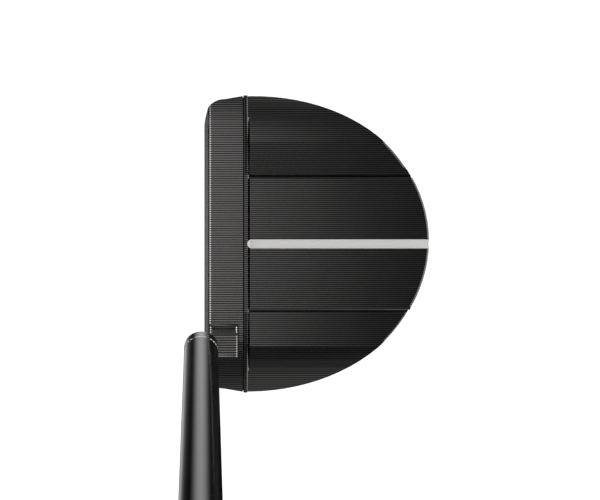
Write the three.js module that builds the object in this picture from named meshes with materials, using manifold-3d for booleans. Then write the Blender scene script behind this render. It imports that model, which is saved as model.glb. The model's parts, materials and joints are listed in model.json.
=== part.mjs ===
// A right-handed mallet putter standing at address, in millimetres.
//
// X runs from toe (-) to heel (+), Y from the striking face (-) to the back (+), Z up.
// The origin is the middle of the flat sole, on the ground. The shaft leans toward the heel.
import * as THREE from 'three';
import { mergeVertices } from 'three/addons/utils/BufferGeometryUtils.js';
import Module from 'manifold-3d';

const wasm = await Module();
wasm.setup();

// ---------------------------------------------------------------- driving dimensions

const seam = 0.3;                 // gap between pieces that touch
const overlap = 1;                // how far a cutter or an inner end runs past the face it meets

// Head, seen from above: an ellipse cut off by the face.
const headDepth = 68.4;           // leading edge to rear edge
const semiWidth = 45.65;          // heel-toe half width of the ellipse
const semiDepth = 54;             // front-back half length of the ellipse
const toeDrift = -0.017;          // the outline's midline drifts to the toe, per unit going back
const frontCornerRadius = 6.1;
const frontHalfWidth = 44.35;     // just behind the front corners
const barFlare = 1.0;              // how much wider the bar would be, each side, at its back edge
const leadingEdgeY = -headDepth / 2;
const ellipseY = headDepth / 2 - semiDepth;

// Head, seen from the front.
const topZ = 24;                  // top of the face bar
const shoulderX = 27;             // where the top line starts to round down to heel and toe
const shoulderSlope = THREE.MathUtils.degToRad(20);
const soleFlat = 0.88;            // share of the ellipse that rests on the ground
const wallFootZ = 8;              // height where the curved sole turns into the upright wall
const loft = THREE.MathUtils.degToRad(3);

// Face bar and the flange behind the parting line.
const barDepth = 11.72;
const topEdgeStart = 2;           // where the bar's flat top starts to roll over to the face
const flangeDepth = 1.18;
const reliefWidth = 0.6;          // slot between the flange and the sculpted top
const reliefZ = 22.2;
const fluteWidth = 0.6;           // shallow flute along the outer lengths of the flange
const fluteDepth = 0.15;
const fluteFall = 0.07;           // how steeply the flute's bottom falls toward the back
const flangeFrontEdge = 0.12;
const flangeBackEdge = 0.22;

// Sculpted top of the rear body, as a section across the head.
const plateauHalfWidth = 20.05;
const plateauZ = 23.6;
const grooveWidth = 0.9;
const grooveZ = 21.9;
const facetFootZ = 22.4;
const ridgeX = 31;
const ridgeZ = 23.8;
const wingStart = THREE.MathUtils.degToRad(6);
const wingEnd = THREE.MathUtils.degToRad(35);

const rimBevel = 0.62;            // 45 degree bevel along the rear edge, from ridge to ridge

// Sightline.
const sightRadius = 1.5;
const paintDepth = 0.45;
const sightStartY = leadingEdgeY + barDepth + seam + 0.85;

// Shaft line: the lie angle is 70 degrees, so the shaft leans 20 degrees from upright.
const lean = THREE.MathUtils.degToRad(20);
const clubLength = 863.6;         // 34 inches, ground to butt along the shaft line
const collarX = 28.45;
const collarY = leadingEdgeY - 0.97;
const collarZ = 52.1;
const collarRadius = 4.72;
const collarLength = 3.4;
const spigotRadius = 3.55;
const spigotLength = 32;

// Neck: an upright post on the bar, with an arm that reaches forward to the collar.
const neckWidth = 6.4;
const neckX = 28.8;
const neckTopZ = 48;
const neckBackY = leadingEdgeY + 9.2;
const postDepth = 6.8;
const armHeight = 7;
const neckFillet = 1.2;
const neckEdge = 0.3;

// Shaft, stepped from tip to butt.
const tipRadius = 4.7;
const buttRadius = 7.6;
const shaftWall = 0.5;
const firstStep = 190;            // distance of the first step from the collar
const stepSpacing = 38;
const stepCount = 9;
const stepRun = 2.5;

// Grip.
const gripLength = 265;
const capThickness = 4;
const tapeThickness = 0.15;
const tapeGap = 0.12;
const gripBore = 0.45;            // radial room between shaft and grip for the tape

// Hollow under the rear body and its sole plate, as shares of the head's ellipse.
const frontWall = 6.5;
const plateFrontWall = 3;
const pocketScale = 0.73;
const plateScale = 0.79;
const pocketCeilingZ = 19.8;
const plateThickness = 2;

// Fasteners and weights.
const plateScrewSpots = [[-27, -15], [27, -15], [-19, 10], [19, 10], [0, 17]];
const plateScrewRadius = 1.5;
const plateScrewLength = 9;
const plateScrewBoss = 3.5;
const weightSpots = { toe: -22, heel: 22 };
const weightY = -2;
const weightRadius = 6;
const weightLength = 9;
const weightBoss = 7.8;
const jointScrewX = 9;
const jointScrewRadius = 2;
const jointScrewLength = 14.6;
const jointScrewHead = 4;
const dowelX = 36;
const dowelRadius = 2;
const dowelLength = 10;
const jointZ = 11;

// Lightening pockets in the back of the face bar, hidden behind the parting line.
const barPocket = { nearX: 14, farX: 31, lowZ: 5, highZ: 18.5, depth: 6.5 };

// Smoothness of round shapes.
const outlineSides = 96;
const plateCurve = 24;
const roundSides = 24;
const smallSides = 16;

// ---------------------------------------------------------------- tools

// A solid from a closed geometry: shared corners merged, flat triangles dropped, faces outward.
function solid(geometry) {
  const bare = geometry.clone();
  bare.deleteAttribute('normal');
  bare.deleteAttribute('uv');
  const merged = mergeVertices(bare, 1e-4);
  const corners = merged.attributes.position.array;
  const triangles = [];
  let sixVolumes = 0;
  for (let i = 0; i < merged.index.count; i += 3) {
    const [a, b, c] = merged.index.array.slice(i, i + 3);
    if (a === b || b === c || c === a) continue;
    triangles.push(a, b, c);
    const [p, q, r] = [a, b, c].map((n) => new THREE.Vector3().fromArray(corners, 3 * n));
    sixVolumes += p.dot(q.cross(r));
  }
  if (sixVolumes < 0) triangles.reverse();
  return new wasm.Manifold(new wasm.Mesh({
    numProp: 3,
    vertProperties: new Float32Array(corners),
    triVerts: new Uint32Array(triangles),
  }));
}

function joined(...solids) {
  return solids.reduce((whole, next) => whole.add(next));
}

function cutBy(whole, ...cutters) {
  return cutters.reduce((rest, cutter) => rest.subtract(cutter), whole);
}

// A named mesh, flat-shaded so that its planes stay planes.
function piece(name, whole, material) {
  const { vertProperties, triVerts } = whole.getMesh();
  const geometry = new THREE.BufferGeometry();
  geometry.setAttribute('position', new THREE.BufferAttribute(new Float32Array(vertProperties), 3));
  geometry.setIndex(new THREE.BufferAttribute(new Uint32Array(triVerts), 1));
  geometry.computeVertexNormals();
  const mesh = new THREE.Mesh(geometry, material);
  mesh.name = name;
  return mesh;
}

// The two directions of a shape's plane, and the direction in which it is pushed out.
const planes = {
  x: [new THREE.Vector3(0, 1, 0), new THREE.Vector3(0, 0, 1), new THREE.Vector3(1, 0, 0)],
  y: [new THREE.Vector3(1, 0, 0), new THREE.Vector3(0, 0, 1), new THREE.Vector3(0, -1, 0)],
  z: [new THREE.Vector3(1, 0, 0), new THREE.Vector3(0, 1, 0), new THREE.Vector3(0, 0, 1)],
};

// A shape pushed along x, y or z from low to high.
function prism(shape, along, low, high, curveSegments = smallSides) {
  const depth = high - low;
  const geometry = new THREE.ExtrudeGeometry(shape, { depth, bevelEnabled: false, curveSegments });
  const start = along === 'y' ? -high : low;
  geometry.translate(0, 0, start);
  geometry.applyMatrix4(new THREE.Matrix4().makeBasis(...planes[along]));
  return solid(geometry);
}

function box(low, high) {
  const size = high.map((value, axis) => value - low[axis]);
  const middle = high.map((value, axis) => (value + low[axis]) / 2);
  return solid(new THREE.BoxGeometry(...size).translate(...middle));
}

// A round bar along z, from low to high.
function roundBar(radius, low, high, sides = roundSides) {
  const geometry = new THREE.CylinderGeometry(radius, radius, high - low, sides);
  return solid(geometry.rotateX(Math.PI / 2).translate(0, 0, (low + high) / 2));
}

// A turned piece about z; its profile is a list of [radius, height].
function turned(profile, sides = roundSides) {
  const points = profile.map(([radius, height]) => new THREE.Vector2(radius, height));
  return solid(new THREE.LatheGeometry(points, sides).rotateX(Math.PI / 2));
}

function hexSocket(acrossFlats, low, high) {
  return roundBar(acrossFlats / Math.sqrt(3), low, high, 6);
}

function polygon(points) {
  return new THREE.Shape(points.map(([x, y]) => new THREE.Vector2(x, y)));
}

// Turns from "along z" to "along the y axis, pointing forward", keeping x.
function forward(whole, x, y, z) {
  return whole.rotate([90, 0, 0]).translate([x, y, z]);
}

// ---------------------------------------------------------------- head outline

// The blank that the whole head is cut from: an elliptical bowl with a flat bottom.
function headBlank() {
  const curveSteps = 8;
  const blankTopZ = topZ + 8;
  const profile = [new THREE.Vector2(0, 0)];
  for (let i = 0; i <= curveSteps; i++) {
    const turn = (i / curveSteps) * (Math.PI / 2);
    const radius = soleFlat + (1 - soleFlat) * Math.sin(turn);
    profile.push(new THREE.Vector2(radius, wallFootZ * (1 - Math.cos(turn))));
  }
  profile.push(new THREE.Vector2(1, blankTopZ), new THREE.Vector2(0, blankTopZ));
  const bowl = new THREE.LatheGeometry(profile, outlineSides);
  bowl.rotateX(Math.PI / 2).scale(semiWidth, semiDepth, 1);
  const drift = new THREE.Matrix4().set(
    1, toeDrift, 0, 0,
    0, 1, 0, 0,
    0, 0, 1, 0,
    0, 0, 0, 1,
  );
  bowl.applyMatrix4(drift).translate(0, ellipseY, 0);
  return solid(bowl);
}

// A smaller copy of the head's rear outline, closed by a straight front edge with rounded corners.
function innerOutline(scale, frontY, inset) {
  const halfWidth = scale * semiWidth - inset;
  const halfDepth = scale * semiDepth - inset;
  const cornerTurn = 0.16;
  const cornerRun = 5;
  const frontTurn = Math.asin((frontY + inset - ellipseY) / halfDepth);
  const cornerX = halfWidth * Math.cos(frontTurn);
  const shape = new THREE.Shape();
  shape.moveTo(cornerX - cornerRun, frontY + inset);
  shape.quadraticCurveTo(
    cornerX, frontY + inset,
    halfWidth * Math.cos(frontTurn + cornerTurn), ellipseY + halfDepth * Math.sin(frontTurn + cornerTurn),
  );
  shape.absellipse(
    0, ellipseY, halfWidth, halfDepth,
    frontTurn + cornerTurn, Math.PI - frontTurn - cornerTurn, false,
  );
  shape.quadraticCurveTo(-cornerX, frontY + inset, cornerRun - cornerX, frontY + inset);
  return shape;
}

// Points of an arc that bends down from one slope to another over a run, as [x, z].
function fallingArc(startX, startZ, run, startSlope, endSlope, steps) {
  const radius = run / (Math.sin(endSlope) - Math.sin(startSlope));
  const points = [];
  for (let i = 1; i <= steps; i++) {
    const slope = startSlope + (i / steps) * (endSlope - startSlope);
    points.push([
      startX + radius * (Math.sin(slope) - Math.sin(startSlope)),
      startZ - radius * (Math.cos(startSlope) - Math.cos(slope)),
    ]);
  }
  const [endX, endZ] = points.at(-1);
  const tail = 4;
  points.push([endX + tail, endZ - tail * Math.tan(endSlope)]);
  return points;
}

// A closed section, symmetric about the middle, from the top's points on the heel side.
function symmetricSection(half) {
  const [edgeX] = half.at(-1);
  const mirrored = half.map(([x, z]) => [-x, z]);
  const footZ = -3 * overlap;
  return polygon([[-edgeX, footZ], [edgeX, footZ], ...half.toReversed(), ...mirrored]);
}

// Everything below the top line that the face bar and the flange share.
function underTopLine(lowY, highY) {
  const half = [
    [shoulderX, topZ],
    ...fallingArc(shoulderX, topZ, semiWidth - shoulderX, 0, shoulderSlope, 7),
  ];
  return prism(symmetricSection(half), 'y', lowY, highY);
}

// Everything below a copy of the top line that climbs toward the back with a slope, from its level at fromY.
function underTiltedLine(lowY, highY, fromY, slope, lift = 0) {
  const tilt = new THREE.Matrix4().set(
    1, 0, 0, 0,
    0, 1, 0, 0,
    0, slope, 1, lift - slope * fromY,
    0, 0, 0, 1,
  );
  return underTopLine(lowY, highY).transform(tilt.elements);
}

// ---------------------------------------------------------------- face bar with neck

const partingY = leadingEdgeY + barDepth;
const bodyFrontY = partingY + seam;
const pocketFrontY = bodyFrontY + frontWall;
const plateFrontY = bodyFrontY + plateFrontWall;

function barBlock() {
  const sheerTopZ = topZ + overlap;
  const sheerTopY = leadingEdgeY + (sheerTopZ - 1) * Math.tan(loft);
  const side = polygon([
    [leadingEdgeY + 0.9, 0],
    [leadingEdgeY, 1],
    [sheerTopY, sheerTopZ],
    [partingY, sheerTopZ],
    [partingY, 0],
  ]);
  const plan = new THREE.Shape();
  const cornerX = frontHalfWidth - frontCornerRadius;
  const cornerY = leadingEdgeY + frontCornerRadius;
  plan.moveTo(frontHalfWidth + barFlare, partingY);
  plan.lineTo(-frontHalfWidth - barFlare, partingY);
  plan.absarc(-cornerX, cornerY, frontCornerRadius, Math.PI, 1.5 * Math.PI, false);
  plan.absarc(cornerX, cornerY, frontCornerRadius, -0.5 * Math.PI, 0, false);
  const edgeY = leadingEdgeY + topEdgeStart;
  const frontY = leadingEdgeY - overlap;
  const [gentle, steep, steepLift] = [0.46, 1.67, 0.605];
  const rolled = underTiltedLine(frontY, edgeY, edgeY, gentle)
    .intersect(underTiltedLine(frontY, edgeY, edgeY, steep, steepLift));
  const top = joined(rolled, underTopLine(edgeY, partingY + overlap));
  return prism(side, 'x', -semiWidth - overlap, semiWidth + overlap)
    .intersect(prism(plan, 'z', -overlap, sheerTopZ + overlap, 10))
    .intersect(headBlank())
    .intersect(top);
}

// A rim round the post's foot, hollowed by a round cutter along each side.
function neckFilletRim(low, high) {
  const foot = topZ - 0.5;
  const rim = box(
    [low[0] - neckFillet, low[1] - neckFillet, foot],
    [high[0] + neckFillet, high[1] + neckFillet, topZ + neckFillet],
  );
  const run = 20;
  const alongX = roundBar(neckFillet, -run, run).rotate([0, 90, 0]);
  const alongY = roundBar(neckFillet, -run, run).rotate([90, 0, 0]);
  const edgeZ = topZ + neckFillet;
  return cutBy(
    rim,
    alongX.translate([neckX, low[1] - neckFillet, edgeZ]),
    alongX.translate([neckX, high[1] + neckFillet, edgeZ]),
    alongY.translate([low[0] - neckFillet, neckBackY, edgeZ]),
    alongY.translate([high[0] + neckFillet, neckBackY, edgeZ]),
  );
}

// Post and arm in one outline, seen from the side and pushed across the neck's width.
function neckBlock() {
  const half = neckWidth / 2;
  const postFrontY = neckBackY - postDepth;
  const armFrontY = collarY - half;
  const elbow = 3;
  const side = new THREE.Shape();
  side.moveTo(neckBackY, topZ - 2);
  side.lineTo(neckBackY, neckTopZ);
  side.lineTo(armFrontY, neckTopZ);
  side.lineTo(armFrontY, neckTopZ - armHeight + 1);
  side.lineTo(armFrontY + 1, neckTopZ - armHeight);
  side.lineTo(postFrontY - elbow, neckTopZ - armHeight);
  side.quadraticCurveTo(postFrontY, neckTopZ - armHeight, postFrontY, neckTopZ - armHeight - elbow);
  side.lineTo(postFrontY, topZ - 2);
  const block = prism(side, 'x', neckX - half, neckX + half, 6);
  const trim = new THREE.Shape();
  trim.moveTo(neckX - half, neckBackY);
  trim.lineTo(neckX - half, collarY);
  trim.absarc(neckX, collarY, half, Math.PI, 2 * Math.PI, false);
  trim.lineTo(neckX + half, neckBackY);
  const bevel = new THREE.ExtrudeGeometry(trim, {
    depth: neckTopZ - neckEdge,
    bevelThickness: neckEdge,
    bevelSize: neckEdge,
    bevelOffset: -neckEdge,
    bevelSegments: 1,
    curveSegments: 12,
  });
  const rim = neckFilletRim([neckX - half, postFrontY], [neckX + half, neckBackY]);
  return joined(block.intersect(solid(bevel)), rim);
}

// Where the shaft line starts: the centre of the collar's lower edge, z along the shaft.
const shaftLine = new THREE.Group();
shaftLine.position.set(collarX, collarY, collarZ);
shaftLine.rotation.y = lean;
shaftLine.updateMatrix();

function collarAndSpigot() {
  const hub = roundBar(neckWidth / 2, neckTopZ - 2, collarZ + 0.4).translate([neckX, collarY, 0]);
  const turnedEnd = turned([
    [0, -1.3],
    [3, -1.3],
    [collarRadius - 0.2, 0],
    [collarRadius, 0.25],
    [collarRadius, collarLength - 0.2],
    [collarRadius - 0.2, collarLength],
    [spigotRadius, collarLength],
    [spigotRadius, collarLength + spigotLength - 0.6],
    [spigotRadius - 0.6, collarLength + spigotLength],
    [0, collarLength + spigotLength],
  ]);
  return joined(hub, turnedEnd.transform(shaftLine.matrix.elements));
}

function faceBar() {
  const bar = joined(barBlock(), neckBlock(), collarAndSpigot());
  const screwReach = jointScrewLength - frontWall + 1;
  const screwHole = roundBar(jointScrewRadius + seam, -overlap, screwReach, smallSides);
  const dowelHole = roundBar(dowelRadius + seam, -overlap, dowelLength / 2 + 0.6, smallSides);
  const { nearX, farX, lowZ, highZ, depth } = barPocket;
  const holes = [-1, 1].flatMap((side) => [
    forward(screwHole, side * jointScrewX, partingY, jointZ),
    forward(dowelHole, side * dowelX, partingY, jointZ),
    box(
      [Math.min(side * nearX, side * farX), partingY - depth, lowZ],
      [Math.max(side * nearX, side * farX), partingY + overlap, highZ],
    ),
  ]);
  return cutBy(bar, ...holes);
}

// ---------------------------------------------------------------- rear body

function atPlateScrews(whole) {
  return plateScrewSpots.map(([x, y]) => whole.translate([x, y, 0]));
}

function atWeights(whole) {
  return Object.values(weightSpots).map((x) => whole.translate([x, weightY, 0]));
}

// Points round the bottom of a groove, as [x, z], with its lowest point in the middle.
function halfCircle(x, z, radius) {
  const steps = 4;
  return Array.from({ length: steps + 1 }, (_, i) => {
    const turn = Math.PI * (1 + i / steps);
    return [x + radius * Math.cos(turn), z + radius * Math.sin(turn)];
  });
}

function sculptedTop() {
  const grooveEndX = plateauHalfWidth + grooveWidth;
  const grooveRadius = grooveWidth / 2;
  const edge = 0.25;
  const half = [
    [plateauHalfWidth - edge, plateauZ],
    [plateauHalfWidth, plateauZ - edge],
    ...halfCircle(plateauHalfWidth + grooveRadius, grooveZ + grooveRadius, grooveRadius),
    [grooveEndX, facetFootZ],
    [ridgeX, ridgeZ],
    ...fallingArc(ridgeX, ridgeZ, semiWidth - ridgeX, wingStart, wingEnd, 7),
  ];
  return prism(symmetricSection(half), 'y', bodyFrontY + flangeDepth, headDepth / 2 + overlap);
}

// Height of the sculpted top between the ridges.
function topHeight(x) {
  const side = Math.abs(x);
  const facetFootX = plateauHalfWidth + grooveWidth;
  if (side < facetFootX) return plateauZ;
  return facetFootZ + ((side - facetFootX) / (ridgeX - facetFootX)) * (ridgeZ - facetFootZ);
}

// The cutter for the rear edge's bevel: short wedges that follow the edge and taper out at the ridges.
function rimBevelCutter() {
  const past = 0.4;
  const stepTurn = (2 * Math.PI) / outlineSides;
  const cornerXs = [ridgeX, plateauHalfWidth + grooveWidth, plateauHalfWidth];
  const turns = cornerXs.map((x) => Math.acos(x / semiWidth));
  const ridgeTurn = turns[0];
  for (let i = Math.ceil(ridgeTurn / stepTurn); i * stepTurn < Math.PI / 2; i++) turns.push(i * stepTurn);
  turns.sort((a, b) => a - b);
  const stations = [...turns, Math.PI / 2, ...turns.toReversed().map((turn) => Math.PI - turn)];
  const corners = stations.map((turn) => {
    const bevel = Math.abs(Math.cos(turn)) * semiWidth > ridgeX - 0.01 ? 0.02 : rimBevel;
    const back = semiDepth * Math.sin(turn);
    const x = semiWidth * Math.cos(turn);
    const z = topHeight(x);
    const out = new THREE.Vector2(semiDepth * Math.cos(turn), semiWidth * Math.sin(turn)).normalize();
    return [[-bevel - past, past], [past, -bevel - past], [past, past]].map(([outward, up]) => [
      x + toeDrift * back + outward * out.x,
      ellipseY + back + outward * out.y,
      z + up,
    ]);
  });
  const wedges = corners.slice(1).map((next, i) => wasm.Manifold.hull([...corners[i], ...next]));
  return joined(...wedges);
}

// The strip that stands at the height of the face bar, just behind the parting line, with both edges
// broken. A shallow flute follows its top on the heel and toe sides, its bottom leaning back.
function flange() {
  const backY = bodyFrontY + flangeDepth;
  const strip = underTopLine(bodyFrontY, backY + 0.01)
    .intersect(underTiltedLine(bodyFrontY, backY + 0.01, bodyFrontY + flangeFrontEdge, 1))
    .intersect(underTiltedLine(bodyFrontY, backY + 0.01, backY - flangeBackEdge, -1));
  const frontY = bodyFrontY + (flangeDepth - fluteWidth) / 2;
  const lowered = underTiltedLine(bodyFrontY, backY, frontY, -fluteFall, -fluteDepth);
  const inner = plateauHalfWidth + grooveWidth;
  const outer = semiWidth + overlap;
  const flutes = [-1, 1].map((side) => box(
    [Math.min(side * inner, side * outer), frontY, 0],
    [Math.max(side * inner, side * outer), frontY + fluteWidth, topZ + overlap],
  ));
  return cutBy(strip, joined(...flutes).subtract(lowered));
}

// The round-bottomed sightline channel, with a ball end at the front.
function sightChannel(radius, startY) {
  const end = new THREE.SphereGeometry(radius, smallSides, smallSides / 2).rotateX(Math.PI / 2);
  const channel = roundBar(radius, 0, headDepth, smallSides).rotate([-90, 0, 0]);
  return joined(solid(end), channel).translate([0, startY + sightRadius, plateauZ]);
}

function rearBody() {
  const wide = semiWidth + 2 * overlap;
  const flangeBackY = bodyFrontY + flangeDepth;
  const reliefRadius = reliefWidth / 2;
  const reliefBottom = roundBar(reliefRadius, -wide, wide, 8).rotate([0, 90, 0]);
  const relief = joined(
    box([-wide, flangeBackY, reliefZ], [wide, flangeBackY + reliefWidth, topZ + overlap]),
    reliefBottom.translate([0, flangeBackY + reliefRadius, reliefZ]),
  );
  const outside = cutBy(
    joined(sculptedTop(), flange()).intersect(headBlank()),
    relief,
    sightChannel(sightRadius, sightStartY),
    rimBevelCutter(),
  );

  const ledgeZ = plateThickness + seam;
  const screwBoss = roundBar(plateScrewBoss, ledgeZ, topZ, smallSides);
  const weightSeat = roundBar(weightBoss, ledgeZ, topZ);
  const pocket = cutBy(
    prism(innerOutline(pocketScale, pocketFrontY, 0), 'z', -overlap, pocketCeilingZ, plateCurve),
    ...atPlateScrews(screwBoss),
    ...atWeights(weightSeat),
  );
  const recess = prism(innerOutline(plateScale, plateFrontY, 0), 'z', -overlap, ledgeZ, plateCurve);
  const plateScrewHole = roundBar(plateScrewRadius + seam, -overlap, plateScrewLength + 1, smallSides);
  const weightHole = roundBar(weightRadius + seam, -overlap, weightLength + 1);
  const jointHole = roundBar(jointScrewRadius + seam, -frontWall - overlap, overlap, smallSides);
  const dowelHole = roundBar(dowelRadius + seam, -dowelLength / 2 - 0.6, overlap, smallSides);
  const jointHoles = [-1, 1].flatMap((side) => [
    forward(jointHole, side * jointScrewX, bodyFrontY, jointZ),
    forward(dowelHole, side * dowelX, bodyFrontY, jointZ),
  ]);
  const soleHoles = [...atPlateScrews(plateScrewHole), ...atWeights(weightHole)];
  return cutBy(outside, pocket, recess, ...soleHoles, ...jointHoles);
}

// Paint lining the sightline channel: a thin skin with a hollow top.
function sightlinePaint() {
  const gap = 0.1;
  const lining = sightChannel(sightRadius - gap, sightStartY);
  const hollow = sightChannel(sightRadius - gap, sightStartY).translate([0, 0, paintDepth]);
  const above = box([-5, leadingEdgeY, plateauZ - 0.1], [5, headDepth, plateauZ + 5]);
  const rearTrim = headBlank().translate([0, -0.2, 0]);
  return cutBy(lining, hollow, above).intersect(rearTrim);
}

// ---------------------------------------------------------------- sole plate, weights and fasteners

function solePlate() {
  const plate = prism(innerOutline(plateScale, plateFrontY, seam), 'z', 0, plateThickness, plateCurve);
  const throat = plateScrewRadius + seam;
  const countersink = turned([
    [0, -overlap],
    [throat + 1.1 + overlap, -overlap],
    [throat + 1.1, 0],
    [throat, 1.1],
    [throat, plateThickness + overlap],
    [0, plateThickness + overlap],
  ], smallSides);
  const weightHole = roundBar(weightRadius + seam, -overlap, plateThickness + overlap);
  return cutBy(plate, ...atPlateScrews(countersink), ...atWeights(weightHole));
}

// Countersunk screw, head down, its head's flat just inside the plate.
function countersunkScrew() {
  const low = 0.2;
  const headRadius = plateScrewRadius + 1.05;
  const tip = 0.4;
  const body = turned([
    [0, low],
    [headRadius, low],
    [headRadius, low + 0.15],
    [plateScrewRadius, low + 1.2],
    [plateScrewRadius, plateScrewLength - tip],
    [plateScrewRadius - tip, plateScrewLength],
    [0, plateScrewLength],
  ], smallSides);
  return cutBy(body, hexSocket(2, -overlap, 1.5));
}

// Threaded weight, socket down.
function soleWeight() {
  const edge = 0.4;
  const low = 0.3;
  const body = turned([
    [0, low],
    [weightRadius - edge, low],
    [weightRadius, low + edge],
    [weightRadius, low + weightLength - edge],
    [weightRadius - edge, low + weightLength],
    [0, low + weightLength],
  ]);
  return cutBy(body, hexSocket(5, -overlap, 4));
}

// Cap screw along z: the head's seat is at z = 0 and the shank runs up.
function capScrew() {
  const headRadius = 3.5;
  const edge = 0.3;
  const body = turned([
    [0, -jointScrewHead],
    [headRadius - edge, -jointScrewHead],
    [headRadius, edge - jointScrewHead],
    [headRadius, 0],
    [jointScrewRadius, 0],
    [jointScrewRadius, jointScrewLength - edge],
    [jointScrewRadius - edge, jointScrewLength],
    [0, jointScrewLength],
  ], smallSides);
  return cutBy(body, hexSocket(3, -jointScrewHead - overlap, -jointScrewHead / 2));
}

function dowelPin() {
  const half = dowelLength / 2;
  const edge = 0.3;
  return turned([
    [0, -half],
    [dowelRadius - edge, -half],
    [dowelRadius, edge - half],
    [dowelRadius, half - edge],
    [dowelRadius - edge, half],
    [0, half],
  ], smallSides);
}

// ---------------------------------------------------------------- shaft and grip, along the shaft line

const groundToCollar = collarZ / Math.cos(lean);
const buttEnd = clubLength - groundToCollar;
const shaftTip = collarLength + seam;
const shaftButt = buttEnd - capThickness - seam;

// Outer radius of the shaft along its length, as [radius, distance].
function shaftProfile() {
  const rise = (buttRadius - tipRadius) / stepCount;
  const points = [[tipRadius, shaftTip]];
  for (let i = 0; i < stepCount; i++) {
    const at = firstStep + i * stepSpacing;
    points.push([tipRadius + i * rise, at], [tipRadius + (i + 1) * rise, at + stepRun]);
  }
  points.push([buttRadius, shaftButt]);
  return points;
}

// A closed ring profile between an outer line and the same line moved in by a wall.
function tube(outer, wall) {
  const inner = outer.map(([radius, along]) => [radius - wall, along]).reverse();
  return turned([...outer, ...inner, outer[0]]);
}

function shaft() {
  return tube(shaftProfile(), shaftWall);
}

function shaftEpoxy() {
  const bore = tipRadius - shaftWall;
  const gap = 0.14;
  const outer = bore - gap;
  const thickness = outer - spigotRadius - gap;
  return tube([[outer, shaftTip + 0.5], [outer, collarLength + spigotLength - 2]], thickness);
}

function gripTape() {
  const outer = buttRadius + tapeGap + tapeThickness;
  return tube([[outer, buttEnd - gripLength + 6], [outer, shaftButt - 1]], tapeThickness);
}

// Grip section: round at the back, with a flat for the thumbs on the toe side.
function gripSection() {
  const section = new THREE.Shape();
  const flat = 0.62;
  section.moveTo(-0.8, -flat);
  section.quadraticCurveTo(-0.78, -1, 0, -1);
  section.absarc(0, 0, 1, -0.5 * Math.PI, 0.5 * Math.PI, false);
  section.quadraticCurveTo(-0.78, 1, -0.8, flat);
  return section;
}

// Half width of the grip across the thumbs, at a share of its length from the mouth to the butt.
function gripHalfWidth(share) {
  const mouth = 9.6;
  const belly = 13;
  return mouth + (belly - mouth) * Math.sin(Math.min(1, 1.15 * share) * (Math.PI / 2));
}

// How far the pistol bulge pushes out the heel side, near the butt.
function gripBulge(share) {
  const bulge = 0.22;
  const peak = 0.86;
  const spread = 0.2;
  return 1 + bulge * Math.exp(-(((share - peak) / spread) ** 2));
}

function grip() {
  const steps = 14;
  const start = buttEnd - gripLength;
  const length = gripLength - capThickness - seam;
  const geometry = new THREE.ExtrudeGeometry(gripSection(), {
    depth: 1,
    steps,
    bevelEnabled: false,
    curveSegments: 10,
  });
  const corners = geometry.attributes.position;
  for (let i = 0; i < corners.count; i++) {
    const share = corners.getZ(i);
    const half = gripHalfWidth(share);
    const back = corners.getX(i) > 0 ? gripBulge(share) : 1;
    corners.setXYZ(i, corners.getX(i) * half * back, corners.getY(i) * half, start + share * length);
  }
  const bore = roundBar(buttRadius + gripBore, start - overlap, buttEnd);
  return solid(geometry).subtract(bore);
}

// End cap: the grip's own section at the butt, with a flat crown and a plug in the shaft.
function gripCap() {
  const half = gripHalfWidth(1);
  const back = gripBulge(1);
  const edge = 1.2;
  const geometry = new THREE.ExtrudeGeometry(gripSection(), {
    depth: capThickness - edge,
    bevelThickness: edge / half,
    bevelSize: edge / half,
    bevelOffset: -edge / half,
    bevelSegments: 3,
    curveSegments: 10,
  });
  const corners = geometry.attributes.position;
  for (let i = 0; i < corners.count; i++) {
    const wide = corners.getX(i) > 0 ? half * back : half;
    const along = corners.getZ(i);
    const past = Math.max(0, along - (capThickness - edge)) * half;
    corners.setXYZ(
      i,
      corners.getX(i) * wide,
      corners.getY(i) * half,
      buttEnd - capThickness + Math.min(along, capThickness - edge) + past,
    );
  }
  const low = box([-40, -40, buttEnd - capThickness], [40, 40, buttEnd + overlap]);
  const plug = roundBar(buttRadius - shaftWall - seam, shaftButt - 8, buttEnd - capThickness + 1);
  const vent = roundBar(0.9, shaftButt - 9, buttEnd + overlap, 12);
  return joined(solid(geometry).intersect(low), plug).subtract(vent);
}

// ---------------------------------------------------------------- materials

function finish(color, roughness, metalness) {
  return new THREE.MeshStandardMaterial({ color, roughness, metalness });
}

const blackSteel = () => finish(0x2b2b2a, 0.38, 0.9);
const blackAluminium = () => finish(0x262625, 0.42, 0.85);
const blackShaft = () => finish(0x1c1c1b, 0.28, 0.8);
const whitePaint = () => finish(0xe9e9e6, 0.55, 0);
const screwSteel = () => finish(0x3a3a39, 0.35, 0.95);
const weightSteel = () => finish(0x55565a, 0.35, 1);
const epoxy = () => finish(0x8f8a6f, 0.5, 0);
const paperTape = () => finish(0xd8cfb4, 0.8, 0);
const rubber = () => finish(0x1a1a1b, 0.8, 0);
const hardRubber = () => finish(0x141415, 0.6, 0);

// ---------------------------------------------------------------- assembly

const putter = new THREE.Group();
putter.add(
  piece('face_bar', faceBar(), blackSteel()),
  piece('rear_body', rearBody(), blackAluminium()),
  piece('sightline_paint', sightlinePaint(), whitePaint()),
  piece('sole_plate', solePlate(), blackAluminium()),
);

plateScrewSpots.forEach(([x, y], i) => {
  const screw = piece(`sole_plate_screw_${i + 1}`, countersunkScrew(), screwSteel());
  screw.position.set(x, y, 0);
  putter.add(screw);
});

for (const [side, x] of Object.entries(weightSpots)) {
  const weight = piece(`${side}_weight`, soleWeight(), weightSteel());
  weight.position.set(x, weightY, 0);
  putter.add(weight);
}

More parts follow.
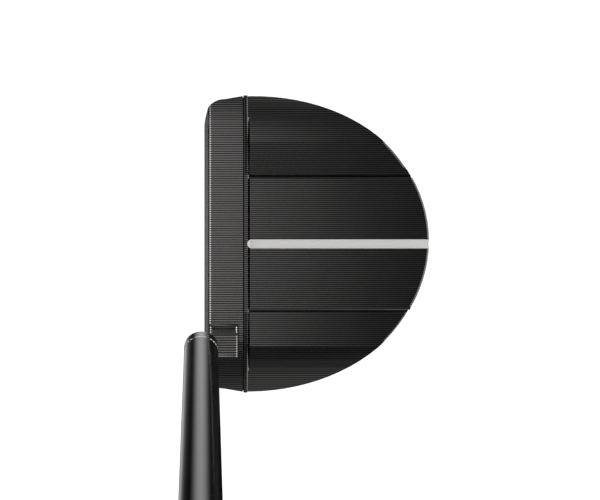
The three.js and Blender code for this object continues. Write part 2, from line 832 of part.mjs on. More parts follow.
for (const [side, toward] of [['toe', -1], ['heel', 1]]) {
  const screw = piece(`${side}_joint_screw`, capScrew(), screwSteel());
  screw.position.set(toward * jointScrewX, pocketFrontY + seam, jointZ);
  screw.rotation.x = Math.PI / 2;
  const pin = piece(`${side}_dowel_pin`, dowelPin(), screwSteel());
  pin.position.set(toward * dowelX, partingY + seam / 2, jointZ);
  pin.rotation.x = Math.PI / 2;
  putter.add(screw, pin);
}

shaftLine.add(
  piece('shaft', shaft(), blackShaft()),
  piece('shaft_epoxy', shaftEpoxy(), epoxy()),
  piece('grip_tape', gripTape(), paperTape()),
  piece('grip', grip(), rubber()),
  piece('grip_cap', gripCap(), hardRubber()),
);
putter.add(shaftLine);

export default putter;
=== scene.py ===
"""A right-handed mallet putter standing at address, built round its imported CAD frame.

Metres, +Z up. X runs from toe to heel and Y from the striking face to the back.
"""

import json
import math

import bmesh
import bpy
from mathutils import Matrix, Vector
from mathutils.bvhtree import BVHTree


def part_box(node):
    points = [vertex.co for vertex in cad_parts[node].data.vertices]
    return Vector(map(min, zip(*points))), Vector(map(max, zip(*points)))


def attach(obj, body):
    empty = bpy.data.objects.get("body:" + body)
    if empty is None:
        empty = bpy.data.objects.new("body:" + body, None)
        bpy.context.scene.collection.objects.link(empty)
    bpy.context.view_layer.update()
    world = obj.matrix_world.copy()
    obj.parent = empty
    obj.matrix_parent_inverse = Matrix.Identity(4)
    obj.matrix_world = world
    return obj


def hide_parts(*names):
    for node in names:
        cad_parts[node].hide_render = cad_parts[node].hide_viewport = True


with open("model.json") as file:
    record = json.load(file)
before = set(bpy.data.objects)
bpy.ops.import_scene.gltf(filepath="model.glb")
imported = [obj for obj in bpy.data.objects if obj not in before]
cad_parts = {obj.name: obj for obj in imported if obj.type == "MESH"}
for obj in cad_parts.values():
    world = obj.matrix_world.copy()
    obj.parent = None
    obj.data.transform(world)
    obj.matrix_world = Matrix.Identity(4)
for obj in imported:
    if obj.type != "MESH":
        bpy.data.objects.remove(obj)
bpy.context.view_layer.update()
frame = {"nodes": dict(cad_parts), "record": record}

MM = 0.001
slots = {part["node"]: part["material_slot"] for part in frame["record"]["subparts"]}

# ---------------------------------------------------------------- places, from the frame, in millimetres


def node_box(node):
    low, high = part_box(node)
    return low / MM, high / MM


_, bar_high = node_box("face_bar")
body_low, body_high = node_box("rear_body")
shaft_low, shaft_high = node_box("shaft")
LEADING_EDGE_Y = -body_high.y

# Cutter lines that run from front to back on the tops: the shift moves them all toward the heel, and
# the overrun is how far a cutter goes past the metal.
BODY_PITCH = 0.608
BAR_PITCH = 0.69
LINE_DEPTH = 0.014
LINE_SHIFT = 0.18
OVERRUN = 1

# The sculpted top of the rear body.
GROOVE_INNER_X = 20.05
GROOVE_OUTER_X = 20.95
RIDGE_X = 31.0
SIDE_PEAK_Y = -19.8

# The face bar and its neck.
LOFT = math.radians(3)
FACE_LOW_Z = 1.0
NECK_X = 28.8
NECK_WIDTH = 6.4
NECK_BACK_Y = LEADING_EDGE_Y + 9.2
NECK_TOP_DEPTH = 6

# The shaft line, from the centre of the collar's lower edge up to the butt.
butt = next(mount for mount in frame["record"]["mounts"] if mount["name"] == "butt_end")
SHAFT_AXIS = Vector(butt["axis"]).normalized()
HEEL_SIDE = Vector((SHAFT_AXIS.z, 0, -SHAFT_AXIS.x))
BUTT = Vector(butt["pos_m"]) / MM
TIP_RADIUS = 4.7
BUTT_RADIUS = 7.6
SHAFT_WALL = 0.5
COLLAR_LENGTH = 3.4
SEAM = 0.3
shaft_tip = Vector((
    shaft_low.x + TIP_RADIUS * SHAFT_AXIS.z,
    (shaft_low.y + shaft_high.y) / 2,
    shaft_low.z + TIP_RADIUS * SHAFT_AXIS.x,
))
COLLAR = shaft_tip - SHAFT_AXIS * (COLLAR_LENGTH + SEAM)
BUTT_END = (BUTT - COLLAR).dot(SHAFT_AXIS)

# ---------------------------------------------------------------- camera: the golfer's view, straight down

CAMERA_HEIGHT = 347 * MM
CAMERA_Y = (LEADING_EDGE_Y - 0.47) * MM
SENSOR_WIDTH = 36
LENS = 63.84
SHIFT_X, SHIFT_Y = 0.1618, -0.0102


def make_camera():
    data = bpy.data.cameras.new("camera")
    data.sensor_width = SENSOR_WIDTH
    data.lens = LENS
    data.shift_x = SHIFT_X
    data.shift_y = SHIFT_Y
    data.clip_start = 0.01
    camera = bpy.data.objects.new("camera", data)
    camera.location = (0, CAMERA_Y, CAMERA_HEIGHT)
    camera.rotation_euler = (0, 0, math.radians(90))
    bpy.context.scene.collection.objects.link(camera)
    bpy.context.scene.camera = camera


# ---------------------------------------------------------------- node helpers


def add_node(tree, kind, inputs=None, **settings):
    """A node; inputs maps a socket's name or number to a value or to another node's output."""
    made = tree.nodes.new(kind)
    for key, value in settings.items():
        setattr(made, key, value)
    for key, value in (inputs or {}).items():
        if isinstance(value, bpy.types.NodeSocket):
            tree.links.new(value, made.inputs[key])
        else:
            made.inputs[key].default_value = value
    return made


def calc(tree, operation, *values):
    """The output of a math node."""
    return add_node(tree, "ShaderNodeMath", dict(enumerate(values)), operation=operation).outputs[0]


def object_point(tree):
    """The place on the piece, in metres, as separate x, y and z outputs."""
    place = add_node(tree, "ShaderNodeTexCoord").outputs["Object"]
    return place, add_node(tree, "ShaderNodeSeparateXYZ", {0: place}).outputs


def noise(tree, place, scale, detail=4.0, stretch=(1, 1, 1)):
    """Smooth noise from 0 to 1; scale is in cycles per metre."""
    mapped = add_node(tree, "ShaderNodeMapping", {"Vector": place, "Scale": stretch}).outputs[0]
    return add_node(
        tree, "ShaderNodeTexNoise", {"Vector": mapped, "Scale": scale, "Detail": detail}
    ).outputs["Fac"]


def between(tree, share, low, high):
    """Maps 0..1 to low..high."""
    return add_node(
        tree, "ShaderNodeMapRange", {"Value": share, "To Min": low, "To Max": high}
    ).outputs[0]


def ramp(tree, value, start, end, low, high):
    """Eases from low to high as the value goes from start to end."""
    return add_node(
        tree,
        "ShaderNodeMapRange",
        {"Value": value, "From Min": start, "From Max": end, "To Min": low, "To Max": high},
        interpolation_type="SMOOTHSTEP",
    ).outputs[0]


def grey(value, warmth=0.0):
    return (value * (1 + warmth), value, value * (1 - warmth), 1)


def new_material(name):
    material = bpy.data.materials.new(name)
    material.use_nodes = True
    material.node_tree.nodes.clear()
    return material, material.node_tree


def finish_material(tree, normal=None, **inputs):
    named = {key.replace("_", " "): value for key, value in inputs.items()}
    if normal is not None:
        named["Normal"] = normal
    shader = add_node(tree, "ShaderNodeBsdfPrincipled", named)
    add_node(tree, "ShaderNodeOutputMaterial", {"Surface": shader.outputs[0]})


def bump(tree, height, distance=1.0, normal=None):
    """A bumped normal; height times distance is in metres."""
    inputs = {"Height": height, "Distance": distance}
    if normal is not None:
        inputs["Normal"] = normal
    return add_node(tree, "ShaderNodeBump", inputs).outputs[0]


# ---------------------------------------------------------------- shapes, worked in millimetres


def object_from(shape, name):
    """A new object from a bmesh."""
    mesh = bpy.data.meshes.new(name)
    shape.to_mesh(mesh)
    shape.free()
    made = bpy.data.objects.new(name, mesh)
    bpy.context.scene.collection.objects.link(made)
    return made


def node_shape(node):
    """A CAD node's mesh in millimetres, with its coplanar triangles merged into whole faces."""
    weld, flat = 2e-3, math.radians(0.3)
    source = frame["nodes"][node].data
    bare = bpy.data.meshes.new(node)
    bare.from_pydata([v.co for v in source.vertices], [], [list(p.vertices) for p in source.polygons])
    shape = bmesh.new()
    shape.from_mesh(bare)
    bpy.data.meshes.remove(bare)
    shape.transform(Matrix.Scale(1 / MM, 4))
    bmesh.ops.remove_doubles(shape, verts=shape.verts, dist=weld)
    bmesh.ops.dissolve_limit(
        shape, angle_limit=flat, verts=shape.verts, edges=shape.edges, delimit={"NORMAL"}
    )
    return shape


def cut(whole, cutter):
    """Takes one object away from another and deletes it."""
    knife = whole.modifiers.new("cut", "BOOLEAN")
    knife.operation = "DIFFERENCE"
    knife.solver = "EXACT"
    knife.object = cutter
    bpy.context.view_layer.update()
    depsgraph = bpy.context.evaluated_depsgraph_get()
    mesh = bpy.data.meshes.new_from_object(whole.evaluated_get(depsgraph))
    whole.modifiers.clear()
    whole.data = mesh
    bpy.data.objects.remove(cutter)


def finish_piece(piece, node, smooth_angle=18):
    """Back to metres, shaded, in place of its CAD node."""
    piece.data.transform(Matrix.Scale(MM, 4))
    piece.data.polygons.foreach_set("use_smooth", [True] * len(piece.data.polygons))
    piece.data.set_sharp_from_angle(angle=math.radians(smooth_angle))
    slot = slots[node]
    piece.data.materials.clear()
    piece.data.materials.append(materials[slot])
    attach(piece, "root")
    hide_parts(node)
    return piece


def top_height(surface, x, y):
    """How high a surface is at a place seen from above, or None beside it."""
    above = 100
    hit = surface.ray_cast(Vector((x, y, above)), Vector((0, 0, -1)))[0]
    return None if hit is None else hit.z


def milling_cutter(surface, zones, pitch, depth):
    """The swept path of the milling cutter: combs of round grooves that follow a top surface.
    A zone is ((x from, to), (y from, to), y where the surface's height is read)."""
    steps = 6
    clearance = 0.003
    from_border = 0.02
    comb = bmesh.new()
    for (x_low, x_high), (y_low, y_high), y_read in zones:
        step = pitch / steps
        corners = [x_low, x_high, *(x for x in (-RIDGE_X, RIDGE_X) if x_low < x < x_high)]
        between_corners = (i * step for i in range(math.ceil(x_low / step), math.ceil(x_high / step)))
        line = corners + [x for x in between_corners if min(abs(x - c) for c in corners) > step / 3]
        section = []
        for x in sorted(line):
            inside = min(max(x, x_low + from_border), x_high - from_border)
            top = top_height(surface, inside, y_read)
            if top is None:
                continue
            groove = abs(math.sin(math.pi * (x - LINE_SHIFT) / pitch))
            section.append((x, top - clearance - depth * groove))
        high = max(z for _, z in section) + OVERRUN
        section += [(section[-1][0], high), (section[0][0], high)]
        rings = [[comb.verts.new((x, y, z)) for x, z in section] for y in (y_low, y_high)]
        comb.faces.new(rings[0])
        comb.faces.new(list(reversed(rings[1])))
        for i in range(len(section)):
            a, b = i, (i + 1) % len(section)
            comb.faces.new((rings[0][b], rings[0][a], rings[1][a], rings[1][b]))
    bmesh.ops.recalc_face_normals(comb, faces=comb.faces)
    return object_from(comb, "milling_cutter")


def loft(name, rings):
    """A closed skin through rings of points; the last ring joins the first."""
    shape = bmesh.new()
    made = [[shape.verts.new(point) for point in ring] for ring in rings]
    count = len(rings[0])
    for i, ring in enumerate(made):
        after = made[(i + 1) % len(made)]
        for k in range(count):
            j = (k + 1) % count
            shape.faces.new((ring[k], ring[j], after[j], after[k]))
    bmesh.ops.recalc_face_normals(shape, faces=shape.faces)
    return object_from(shape, name)


def shaft_ring(along, radius, sides=96):
    """A ring about the shaft line. The radius is a number or a function of the turn from the heel side."""
    points = []
    for k in range(sides):
        turn = 2 * math.pi * k / sides
        reach = radius(turn) if callable(radius) else radius
        across = HEEL_SIDE * math.cos(turn) + Vector((0, 1, 0)) * math.sin(turn)
        points.append(COLLAR + SHAFT_AXIS * along + across * reach)
    return points


# ---------------------------------------------------------------- head


def make_rear_body():
    """The body, with cutter lines on its panel and its two sides but not in its grooves."""
    shape = node_shape("rear_body")
    surface = BVHTree.FromBMesh(shape)
    piece = object_from(shape, "rear_body_milled")
    half = body_high.x
    flange = 1.6
    run = (body_low.y + flange, body_high.y + OVERRUN)
    zones = [
        ((-half, -GROOVE_OUTER_X), run, SIDE_PEAK_Y),
        ((-GROOVE_INNER_X, GROOVE_INNER_X), run, SIDE_PEAK_Y),
        ((GROOVE_OUTER_X, half), run, SIDE_PEAK_Y),
    ]
    cut(piece, milling_cutter(surface, zones, BODY_PITCH, LINE_DEPTH))
    finish_piece(piece, "rear_body")


def make_face_bar():
    """The bar with its lines, its land and its milled skin. Gives back the end of its neck."""
    shape = node_shape("face_bar")
    surface = BVHTree.FromBMesh(shape)
    piece = object_from(shape, "face_bar_milled")
    half = bar_high.x
    back = bar_high.y + OVERRUN
    fillet = 1.3
    apart = 0.01
    beside_neck_y, behind_neck_y = -26, -23
    neck_low, neck_high = NECK_X - NECK_WIDTH / 2 - fillet, NECK_X + NECK_WIDTH / 2 + fillet
    zones = [
        ((-half, neck_low), (LEADING_EDGE_Y, back), beside_neck_y),
        ((neck_low + apart, neck_high - apart), (NECK_BACK_Y + fillet, back), behind_neck_y),
        ((neck_high, half), (LEADING_EDGE_Y, back), beside_neck_y),
    ]
    cut(piece, milling_cutter(surface, zones, BAR_PITCH, LINE_DEPTH))
    edge = 0.45
    reach = NECK_WIDTH / 2 - edge
    neck_width = (NECK_X - reach, NECK_X + reach)
    neck_run = (NECK_BACK_Y - NECK_TOP_DEPTH, NECK_BACK_Y - edge)
    on_neck_y = NECK_BACK_Y - 1
    cut(piece, milling_cutter(surface, [(neck_width, neck_run, on_neck_y)], BAR_PITCH, LINE_DEPTH))
    cut(piece, face_recess())
    collar = split_collar(piece)
    finish_piece(piece, "face_bar")
    make_joint_land(surface)
    make_face_milling()
    return finish_piece(collar, "face_bar")


def split_collar(piece):
    """Makes the end of the neck an object of its own, so that the shaft's light can reach it."""
    below_collar, reach = -3, 120
    collar = piece.copy()
    collar.data = piece.data.copy()
    collar.name = "face_bar_collar"
    bpy.context.scene.collection.objects.link(collar)
    cut(collar, square_block(below_collar - reach, below_collar, reach))
    cut(piece, square_block(below_collar, below_collar + reach, reach))
    return collar


def square_block(low, high, reach):
    """A block square to the shaft line, between two places along it."""
    across = [(-reach, -reach), (reach, -reach), (reach, reach), (-reach, reach)]
    block = bmesh.new()
    lower, upper = (
        [
            block.verts.new(COLLAR + SHAFT_AXIS * along + HEEL_SIDE * heel + Vector((0, back, 0)))
            for heel, back in across
        ]
        for along in (low, high)
    )
    for k in range(4):
        j = (k + 1) % 4
        block.faces.new((lower[k], lower[j], upper[j], upper[k]))
    block.faces.new(lower)
    block.faces.new(upper)
    bmesh.ops.recalc_face_normals(block, faces=block.faces)
    return object_from(block, "square_block")


def make_joint_land(surface):
    """The land along the top of the bar's back, which closes the parting line below its edge.
    Its own top slopes, so that the line stays dark."""
    below_top, slope, depth, half, count = 0.8, 0.5, 3.0, 45.0, 24
    into_bar, off_body, inside_edge = 0.05, 0.02, 0.4
    front, back = bar_high.y - into_bar, body_low.y - off_body
    edge = []
    for i in range(count + 1):
        x = half * (2 * i / count - 1)
        edge.append((x, top_height(surface, x, bar_high.y - inside_edge) - below_top))
    foot = [(x, z - depth) for x, z in reversed(edge)]
    land = bmesh.new()
    rings = []
    for y, fall in ((front, slope), (back, 0)):
        outline = [(x, z - fall) for x, z in edge] + foot
        rings.append([land.verts.new((x, y, z)) for x, z in outline])
    land.faces.new(rings[0])
    land.faces.new(list(reversed(rings[1])))
    for i in range(len(outline)):
        j = (i + 1) % len(outline)
        land.faces.new((rings[0][j], rings[0][i], rings[1][i], rings[1][j]))
    bmesh.ops.recalc_face_normals(land, faces=land.faces)
    finish_piece(object_from(land, "face_bar_joint_land"), "face_bar")


# The striking face is milled all over with two crossing sets of fine grooves. The milled skin goes
# from FACE_FROM to FACE_TO up the face, and is FACE_BED thick.
FACE_PITCH = 1.44
FACE_STEP = FACE_PITCH / 6
FACE_HALF = 164 * FACE_STEP
FACE_FROM, FACE_TO = 0.72, 21.6
FACE_DEPTH = 0.2
FACE_BED = 0.35


def face_point(x, up, inward):
    """A point on the striking face: x across, up from the leading edge, and so far into the metal."""
    return Vector((
        x,
        LEADING_EDGE_Y + up * math.sin(LOFT) + inward * math.cos(LOFT),
        FACE_LOW_Z + up * math.cos(LOFT) - inward * math.sin(LOFT),
    ))


def face_recess():
    """The block that makes room in the bar for the milled skin."""
    shape = bmesh.new()
    corners = [(-FACE_HALF, FACE_FROM), (FACE_HALF, FACE_FROM), (FACE_HALF, FACE_TO), (-FACE_HALF, FACE_TO)]
    outer, inner = (
        [shape.verts.new(face_point(x, up, inward)) for x, up in corners] for inward in (-OVERRUN, FACE_BED)
    )
    shape.faces.new(outer)
    shape.faces.new(list(reversed(inner)))
    for i in range(4):
        j = (i + 1) % 4
        shape.faces.new((outer[j], outer[i], inner[i], inner[j]))
    bmesh.ops.recalc_face_normals(shape, faces=shape.faces)
    return object_from(shape, "face_recess")


def make_face_milling():
    """The milled skin: pyramids left by the crossing grooves, on a grid six points to a groove."""
    columns = round(2 * FACE_HALF / FACE_STEP)
    rows = round((FACE_TO - FACE_FROM) / FACE_STEP)
    wide = columns + 1

    def grid_place(index):
        row, column = divmod(index, wide)
        return column * FACE_STEP - FACE_HALF, FACE_FROM + row * FACE_STEP

    verts = []
    for index in range(wide * (rows + 1)):
        x, up = grid_place(index)
        waves = (math.sin(math.pi * way / FACE_PITCH) for way in (x + up, x - up))
        verts.append(face_point(x, up, FACE_DEPTH * (1 - abs(math.prod(waves)))))
    faces = []
    for row in range(rows):
        for column in range(columns):
            corner = row * wide + column
            faces.append((corner, corner + 1, corner + wide + 1, corner + wide))
    border = [*range(wide), *(row * wide + columns for row in range(1, rows + 1))]
    border += [rows * wide + column for column in range(columns - 1, -1, -1)]
    border += [row * wide for row in range(rows - 1, 0, -1)]
    bed = len(verts)
    verts += [face_point(*grid_place(index), FACE_BED) for index in border]
    count = len(border)
    for k in range(count):
        after = (k + 1) % count
        faces.append((border[k], bed + k, bed + after, border[after]))
    faces.append([bed + k for k in range(count)])
    mesh = bpy.data.meshes.new("face_bar_face_milling")
    mesh.from_pydata(verts, [], faces)
    piece = bpy.data.objects.new("face_bar_face_milling", mesh)
    bpy.context.scene.collection.objects.link(piece)
    finish_piece(piece, "face_bar", smooth_angle=5)


def make_small_pieces():
    """The plate, weights, screws, pins, paint, glue and tape keep their CAD shapes."""
    for node in slots:
        if node in ("face_bar", "rear_body", "shaft", "grip", "grip_cap"):
            continue
        finish_piece(object_from(node_shape(node), node + "_finished"), node, smooth_angle=32)


# ---------------------------------------------------------------- shaft and grip

# The shaft grows in short eased steps, at places along it from the collar.
FIRST_STEP = 190
STEP_SPACING = 38
STEP_COUNT = 9
STEP_RUN = 2.5
GRIP_LENGTH = 265
GRIP_SIDES = 168
CAP_THICKNESS = 4
GRIP_BORE = BUTT_RADIUS + 0.45
MOUTH_RADIUS = 9.6
BELLY_RADIUS = 13


def make_shaft():
    rise = (BUTT_RADIUS - TIP_RADIUS) / STEP_COUNT
    low, high = COLLAR_LENGTH + SEAM, BUTT_END - CAP_THICKNESS - SEAM
    lip = 0.15
    profile = [(low, TIP_RADIUS - lip), (low + lip, TIP_RADIUS)]
    for i in range(STEP_COUNT):
        start = FIRST_STEP + i * STEP_SPACING
        for share in (0, 0.25, 0.5, 0.75, 1):
            eased = share * share * (3 - 2 * share)
            profile.append((start + share * STEP_RUN, TIP_RADIUS + (i + eased) * rise))
    profile.append((high, BUTT_RADIUS))
    inner = [(along, radius - SHAFT_WALL) for along, radius in [(low, TIP_RADIUS), *profile[2:]]]
    rings = [shaft_ring(along, radius) for along, radius in profile + inner[::-1]]
    return finish_piece(loft("shaft_stepped", rings), "shaft")


def grip_radius(share, turn):
    """The grip's outside: round at the back, flat for the thumbs on the toe side, fuller near the butt."""
    fullest, bulge_share, bulge_run, bulge_height = 1 / 1.15, 0.86, 0.2, 0.22
    swell = math.sin(min(1, share / fullest) * math.pi / 2)
    half = MOUTH_RADIUS + (BELLY_RADIUS - MOUTH_RADIUS) * swell
    toward_heel = math.cos(turn)
    bulge = bulge_height * math.exp(-(((share - bulge_share) / bulge_run) ** 2))
    if toward_heel > 0:
        return half * math.hypot(toward_heel * (1 + bulge), math.sin(turn))
    flat, corner = 0.8, 10
    return half * (1 + (-toward_heel / flat) ** corner) ** (-1 / corner)


def grip_texture(along, turn, low, high):
    """Depth of the moulded pattern: two crossing helices of shallow grooves between plain end bands."""
    band, fade_run, pitch, depth, turns, groove_width = 12, 2, 4.2, 0.28, 14, 0.28
    fade = min(1, max(0, (along - low - band) / fade_run), max(0, (high - band - along) / fade_run))
    round_share = turn / (2 * math.pi)
    helices = (math.sin(math.pi * (along / pitch + side * turns * round_share)) for side in (-1, 1))
    groove = max(math.exp(-((wave / groove_width) ** 2)) for wave in helices)
    return depth * groove * fade


def make_grip():
    low, high = BUTT_END - GRIP_LENGTH, BUTT_END - CAP_THICKNESS - SEAM
    length = high - low
    lip, lip_steps, steps = 1.0, 4, 360
    rings = []
    for step in range(lip_steps):
        rolled = step / lip_steps * math.pi / 2
        along, inset = lip * (1 - math.cos(rolled)), lip * (1 - math.sin(rolled))
        share = along / length
        rings.append(shaft_ring(
            low + along,
            lambda turn: grip_radius(share, turn) - inset,
            sides=GRIP_SIDES,
        ))
    for i in range(steps + 1):
        along = lip + (length - lip) * i / steps
        share = along / length
        rings.append(shaft_ring(
            low + along,
            lambda turn: grip_radius(share, turn) - grip_texture(low + along, turn, low, high),
            sides=GRIP_SIDES,
        ))
    rings += [shaft_ring(along, GRIP_BORE, sides=GRIP_SIDES) for along in (high, low)]
    finish_piece(loft("grip_moulded", rings), "grip", smooth_angle=40)


def make_grip_cap():
    """End cap with a rounded rim, a shallow ring round its vent, and a plug in the shaft."""
    low, high = BUTT_END - CAP_THICKNESS, BUTT_END
    plug, plug_length = BUTT_RADIUS - SHAFT_WALL - SEAM, 8
    plug_end = low - SEAM - plug_length
    rim, rim_steps, vent, vent_edge = 1.2, 6, 0.9, 0.2
    ring_outer, ring_inner, ring_slope = 8.2, 6.1, 0.3
    ring_floor = high - 0.35
    rings = [shaft_ring(plug_end, vent), shaft_ring(plug_end, plug), shaft_ring(low, plug)]
    outside = [(low, 0)]
    for step in range(rim_steps + 1):
        turn = step / rim_steps * math.pi / 2
        outside.append((high - rim * (1 - math.sin(turn)), rim * (1 - math.cos(turn))))
    for along, inset in outside:
        rings.append(shaft_ring(along, lambda turn: grip_radius(1, turn) - inset))
    for along, radius in (
        (high, ring_outer),
        (ring_floor, ring_outer - ring_slope),
        (ring_floor, ring_inner + ring_slope),
        (high, ring_inner),
        (high, vent + vent_edge),
        (high - vent_edge, vent),
    ):
        rings.append(shaft_ring(along, radius))
    finish_piece(loft("grip_cap_moulded", rings), "grip_cap", smooth_angle=40)


# ---------------------------------------------------------------- materials


# Painted shade between two grooves and painted highlight in each groove, as shares of the metal's mean
# reflectance (the grooves themselves are cut in the mesh), and the two depths in the groove, as shares of
# its whole depth, between which the tone turns from one to the other.
PAINTED_SHADE_BETWEEN_LINES, PAINTED_HIGHLIGHT_IN_LINES = 0.12, 1.86
LINE_FROM, LINE_TO = 0.3, 0.95
# Upward parts of the normals between which a surface turns from a side into a milled top.
SIDE_NORMAL, TOP_NORMAL = 0.6, 0.75
# How much of the mirror a milled top loses when seen at a glancing angle, and the facing values
# (0 seen square on, 1 seen along the surface) between which that happens.
GLANCING_LOSS = 0.97
GLANCING_FROM, GLANCING_TO = 0.5, 0.8


def milled_metal(name, reflectance, roughness, pitch, warmth=0.02):
    """Dark coated metal. Tops have the cutter's lines, cut in the mesh, with a painted highlight in each
    groove and painted shade between two grooves, and everywhere fine streaks run front to back. Seen at a
    glancing angle the grooves hide each other and the tops go dull."""
    material, tree = new_material(name)
    streak_stretch, streak_height, roughness_spread = (1, 0.012, 0.012), 2e-6, 0.03
    place, (x, _, _) = object_point(tree)
    streak = noise(tree, place, 3 / (pitch * MM), 2, streak_stretch)
    cloud = noise(tree, place, 90, 3)
    turn = calc(tree, "MULTIPLY", calc(tree, "SUBTRACT", x, LINE_SHIFT * MM), math.pi / (pitch * MM))
    groove = calc(tree, "ABSOLUTE", calc(tree, "SINE", turn))
    facing_up = add_node(
        tree, "ShaderNodeSeparateXYZ", {0: add_node(tree, "ShaderNodeNewGeometry").outputs["Normal"]}
    ).outputs[2]
    # Painted highlight in each groove and painted shade between two grooves, laid on the tops only.
    lines = ramp(tree, groove, LINE_FROM, LINE_TO, PAINTED_SHADE_BETWEEN_LINES, PAINTED_HIGHLIGHT_IN_LINES)
    on_top = ramp(tree, facing_up, SIDE_NORMAL, TOP_NORMAL, 0.0, 1.0)
    line_change = calc(tree, "MULTIPLY", on_top, calc(tree, "SUBTRACT", lines, 1.0))
    painted_line_light = calc(tree, "ADD", 1.0, line_change)
    worn_tone = calc(tree, "MULTIPLY", between(tree, streak, 0.8, 1.2), between(tree, cloud, 0.94, 1.06))
    # The colour: the painted groove highlight and shade, times the random streaks and clouds of tone.
    colour = add_node(
        tree,
        "ShaderNodeMix",
        {"Factor": calc(tree, "MULTIPLY", painted_line_light, worn_tone), 6: grey(0, 0), 7: grey(reflectance, warmth)},
        data_type="RGBA",
        clamp_factor=False,
    ).outputs[2]
    across_lines = add_node(tree, "ShaderNodeCombineXYZ", {0: 1.0}).outputs[0]
    facing_away = add_node(tree, "ShaderNodeLayerWeight", {"Blend": 0.5}).outputs["Facing"]
    dulled = ramp(tree, facing_away, GLANCING_FROM, GLANCING_TO, 0.0, GLANCING_LOSS)
    glancing = calc(tree, "MULTIPLY", on_top, dulled)
    finish_material(
        tree,
        normal=bump(tree, streak, streak_height),
        Base_Color=colour,
        Metallic=calc(tree, "SUBTRACT", 1.0, glancing),
        Specular_IOR_Level=0.0,
        Roughness=between(tree, cloud, roughness - roughness_spread, roughness + roughness_spread),
        Anisotropic=0.7,
        Tangent=across_lines,
    )
    return material


def plain_metal(name, reflectance, roughness, warmth=0.0, grain=400):
    """Smooth or turned metal with a fine grain."""
    grain_height, roughness_spread = 0.6e-6, 0.04
    material, tree = new_material(name)
    place, _ = object_point(tree)
    fine = noise(tree, place, grain * 10, 2)
    cloud = noise(tree, place, grain, 3)
    finish_material(
        tree,
        normal=bump(tree, fine, grain_height),
        Base_Color=grey(reflectance, warmth),
        Metallic=1.0,
        Roughness=between(tree, cloud, roughness - roughness_spread, roughness + roughness_spread),
    )
    return material


def satin(name, colour, roughness, grain, depth, specular=0.5):
    """Paint, rubber, paper or resin with a soft grain, whose depth is in metres."""
    roughness_spread = 0.06
    material, tree = new_material(name)
    place, _ = object_point(tree)
    fine = noise(tree, place, grain, 5)
    finish_material(
        tree,
        normal=bump(tree, fine, depth),
        Base_Color=colour,
        Roughness=between(tree, fine, roughness - roughness_spread, roughness + roughness_spread),
        Specular_IOR_Level=specular,
    )
    return material


def make_materials():
    return {
        "black_steel": milled_metal("black_steel", 0.175, 0.19, BAR_PITCH),
        "black_aluminium": milled_metal("black_aluminium", 0.13, 0.19, BODY_PITCH),
        "white_paint": satin("white_paint", grey(0.92, 0.01), 0.5, 900, 4e-6),
        "screw_steel": plain_metal("screw_steel", 0.12, 0.3),
        "weight_steel": plain_metal("weight_steel", 0.3, 0.3),
        "black_shaft": plain_metal("black_shaft", 0.12, 0.16, grain=120),
        "epoxy": satin("epoxy", (0.27, 0.25, 0.16, 1), 0.3, 700, 5e-6),
        "paper_tape": satin("paper_tape", (0.69, 0.62, 0.45, 1), 0.85, 1500, 2e-5),
        "grip_rubber": satin("grip_rubber", grey(0.014), 0.75, 2500, 2e-5, 0.4),
        "cap_rubber": satin("cap_rubber", grey(0.01), 0.5, 1800, 5e-6, 0.4),
    }


# ---------------------------------------------------------------- studio


def make_floor():
    size = 30
    mesh = bpy.data.meshes.new("floor")
    corners = [(-size, -size, 0), (size, -size, 0), (size, size, 0), (-size, size, 0)]
    mesh.from_pydata(corners, [], [(0, 1, 2, 3)])
    floor = bpy.data.objects.new("floor", mesh)
    bpy.context.scene.collection.objects.link(floor)
    material, tree = new_material("floor")
    finish_material(
        tree,
        Base_Color=grey(0.35),
        Roughness=0.9,
        Specular_IOR_Level=0.0,
        Emission_Color=grey(1.0),
        Emission_Strength=0.97,
    )
    mesh.materials.append(material)
    floor.visible_glossy = False
    floor.visible_shadow = False


def tilt(across, back):
    """The direction at these angles from straight up, toward the heel and toward the back."""
    return math.tan(math.radians(across)), math.tan(math.radians(back)), 1


# Heights on the sky, as the sine of the elevation, and levels relative to white.
HORIZON_TOP, DIM_ABOVE = 0.05, 0.25
HORIZON_FOOT, DIM_BELOW = -0.2, -0.42
HORIZON_LEVEL = 0.2
OVERHEAD_LEVEL = 0.012
UNDER_LEVEL = 0.008

# Soft lights on the sky: direction (heel, back, up), heel-toe spread, front-back spread in degrees, level.
GLOWS = {
    "overhead_toe": (tilt(-22, -1), 19, 6.2, 0.5),
    "overhead": (tilt(-7, -2), 7, 6, 0.2),
    "overhead_heel": (tilt(3, 1), 5, 7.5, 0.55),
    "front": (tilt(-4, -60), 34, 22, 2.5),
    "back": (tilt(0, 64), 30, 20, 3.8),
    "back_horizon": ((0, 0.98, -0.12), 50, 14, 1.1),
    "heel_low": (tilt(56, 5), 16, 50, 0.16),
    "under_front": ((0.0, -0.34, -0.94), 16, 9, 0.95),
    "under_back": ((-0.27, 0.55, -0.79), 12, 12, 0.06),
}


def glow(tree, direction, toward, across, back, level):
    """Light that fades smoothly round a direction of the sky."""
    middle = Vector(toward).normalized()
    heel = (Vector((1, 0, 0)) - middle * middle.x).normalized()
    spreads = (heel / math.sin(math.radians(across)), middle.cross(heel) / math.sin(math.radians(back)))
    ahead, *offsets = (
        add_node(tree, "ShaderNodeVectorMath", {0: direction, 1: axis}, operation="DOT_PRODUCT").outputs[1]
        for axis in (middle, *spreads)
    )
    far = calc(tree, "ADD", *(calc(tree, "MULTIPLY", offset, offset) for offset in offsets))
    fade = calc(tree, "EXPONENT", calc(tree, "MULTIPLY", far, -1.0))
    this_side = calc(tree, "GREATER_THAN", ahead, 0.0)
    return calc(tree, "MULTIPLY", this_side, calc(tree, "MULTIPLY", fade, level))


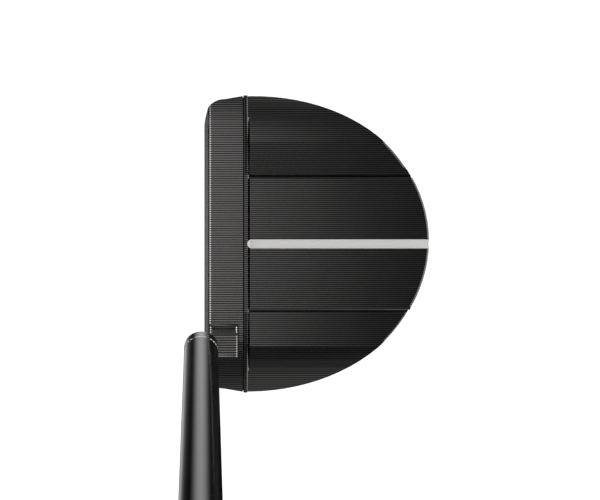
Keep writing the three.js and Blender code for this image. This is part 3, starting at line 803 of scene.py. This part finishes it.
def make_shaft_light(pieces):
    """A strip light along the toe side of the shaft, brightest along its middle, for these pieces alone."""
    reach, width, low, high, level, falloff = 10, 25, -30, 500, 1.6, 4.6
    outward = -HEEL_SIDE
    middle = COLLAR + SHAFT_AXIS * (low + high) / 2 + outward * reach
    data = bpy.data.lights.new("shaft_light", "AREA")
    data.shape = "RECTANGLE"
    data.size, data.size_y = width * MM, (high - low) * MM
    data.energy = math.pi * data.size * data.size_y
    data.use_nodes = True
    tree = data.node_tree
    tree.nodes.clear()
    spot = add_node(tree, "ShaderNodeNewGeometry").outputs["Parametric"]
    across = add_node(tree, "ShaderNodeSeparateXYZ", {0: spot}).outputs[0]
    offset = calc(tree, "MULTIPLY", calc(tree, "SUBTRACT", across, 0.5), falloff)
    fade = calc(tree, "EXPONENT", calc(tree, "MULTIPLY", calc(tree, "MULTIPLY", offset, offset), -1.0))
    shine = add_node(tree, "ShaderNodeEmission", {"Strength": calc(tree, "MULTIPLY", fade, level)})
    add_node(tree, "ShaderNodeOutputLight", {"Surface": shine.outputs[0]})
    light = bpy.data.objects.new("shaft_light", data)
    turn = Matrix((Vector((0, -1, 0)), SHAFT_AXIS, outward)).transposed().to_4x4()
    light.matrix_world = Matrix.Translation(middle * MM) @ turn
    light.visible_camera = False
    bpy.context.scene.collection.objects.link(light)
    lit = bpy.data.collections.new("shaft_only")
    for piece in pieces:
        lit.objects.link(piece)
    light.light_linking.receiver_collection = lit


def make_world():
    """A pale studio: white where the camera sees it, and a dim sky with soft lights to light the club."""
    world = bpy.data.worlds.new("studio")
    bpy.context.scene.world = world
    world.use_nodes = True
    tree = world.node_tree
    tree.nodes.clear()
    direction = add_node(tree, "ShaderNodeTexCoord").outputs["Generated"]
    up = add_node(tree, "ShaderNodeSeparateXYZ", {0: direction}).outputs[2]
    level = calc(
        tree,
        "MINIMUM",
        ramp(tree, up, HORIZON_TOP, DIM_ABOVE, HORIZON_LEVEL, OVERHEAD_LEVEL),
        ramp(tree, up, DIM_BELOW, HORIZON_FOOT, UNDER_LEVEL, HORIZON_LEVEL),
    )
    for settings in GLOWS.values():
        level = calc(tree, "ADD", level, glow(tree, direction, *settings))
    seen = add_node(tree, "ShaderNodeLightPath").outputs["Is Camera Ray"]
    shade = add_node(
        tree, "ShaderNodeBackground", {"Color": grey(1.0), "Strength": calc(tree, "MAXIMUM", seen, level)}
    )
    add_node(tree, "ShaderNodeOutputWorld", {"Surface": shade.outputs[0]})


# ---------------------------------------------------------------- assembly

make_camera()
materials = make_materials()
make_rear_body()
collar = make_face_bar()
make_small_pieces()
shaft = make_shaft()
make_grip()
make_grip_cap()

make_floor()
make_world()
make_shaft_light((shaft, collar))
bpy.context.scene.view_settings.view_transform = "Standard"
